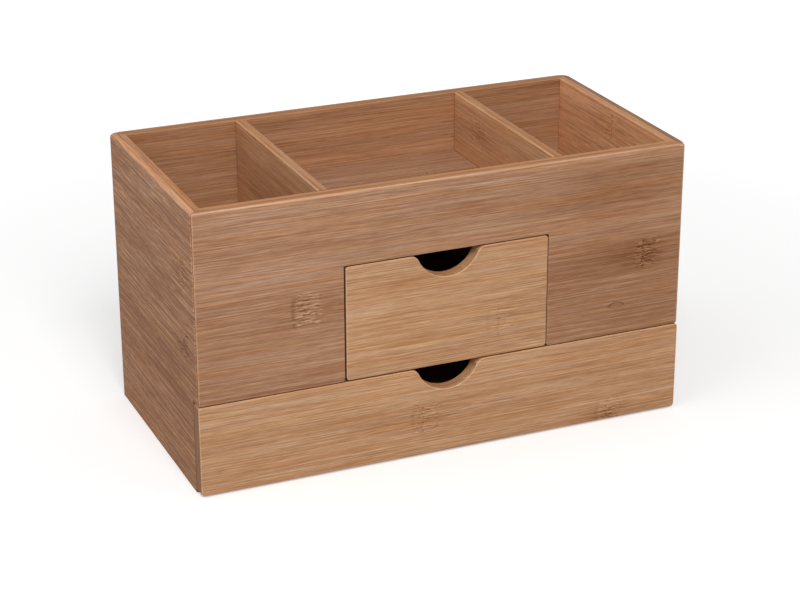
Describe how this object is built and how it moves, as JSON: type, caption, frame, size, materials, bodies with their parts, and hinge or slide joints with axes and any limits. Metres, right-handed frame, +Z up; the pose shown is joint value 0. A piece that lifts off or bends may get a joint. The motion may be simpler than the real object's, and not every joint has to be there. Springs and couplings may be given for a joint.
{
  "type": "drawer organizer",
  "caption": "Free-standing bamboo vanity organizer with open compartments on top, a small central drawer below them and a full-width drawer at the base.",
  "frame": {"origin": "centre of the footprint on the surface that the organizer stands on, with both drawers closed", "axes": "+X to the viewer's right along the width, +Y from the drawer fronts to the back, +Z up"},
  "size_m": [0.25, 0.127, 0.14],
  "materials": {
    "bamboo_wall": "satin lacquered carbonised bamboo, grain along the depth on the sides",
    "bamboo_panel": "satin lacquered carbonised bamboo, grain along the width",
    "bamboo_drawer": "satin lacquered lighter bamboo, grain along the width",
    "bamboo_inside": "satin lacquered carbonised bamboo",
    "bamboo_drawer_bottom": "thin bamboo sheet, satin"
  },
  "bodies": {
    "casing": {"left_side_panel": "bamboo_wall", "right_side_panel": "bamboo_wall", "back_panel": "bamboo_wall", "front_panel": "bamboo_panel", "base_panel": "bamboo_inside", "shelf": "bamboo_inside", "left_divider": "bamboo_panel", "right_divider": "bamboo_panel", "centre_compartment_floor": "bamboo_inside", "upper_drawer_left_guide": "bamboo_inside", "upper_drawer_right_guide": "bamboo_inside"},
    "upper_drawer": {"upper_drawer_front": "bamboo_drawer", "upper_drawer_left_side": "bamboo_drawer", "upper_drawer_right_side": "bamboo_drawer", "upper_drawer_back": "bamboo_drawer", "upper_drawer_bottom": "bamboo_drawer_bottom"},
    "lower_drawer": {"lower_drawer_front": "bamboo_drawer", "lower_drawer_left_side": "bamboo_drawer", "lower_drawer_right_side": "bamboo_drawer", "lower_drawer_back": "bamboo_drawer", "lower_drawer_bottom": "bamboo_drawer_bottom"}
  },
  "joints": [
    {"name": "upper_drawer_slide", "type": "slide", "parent": "casing", "child": "upper_drawer", "axis": [0, -1, 0], "range_m": [0, 0.085]},
    {"name": "lower_drawer_slide", "type": "slide", "parent": "casing", "child": "lower_drawer", "axis": [0, -1, 0], "range_m": [0, 0.085]}
  ]
}
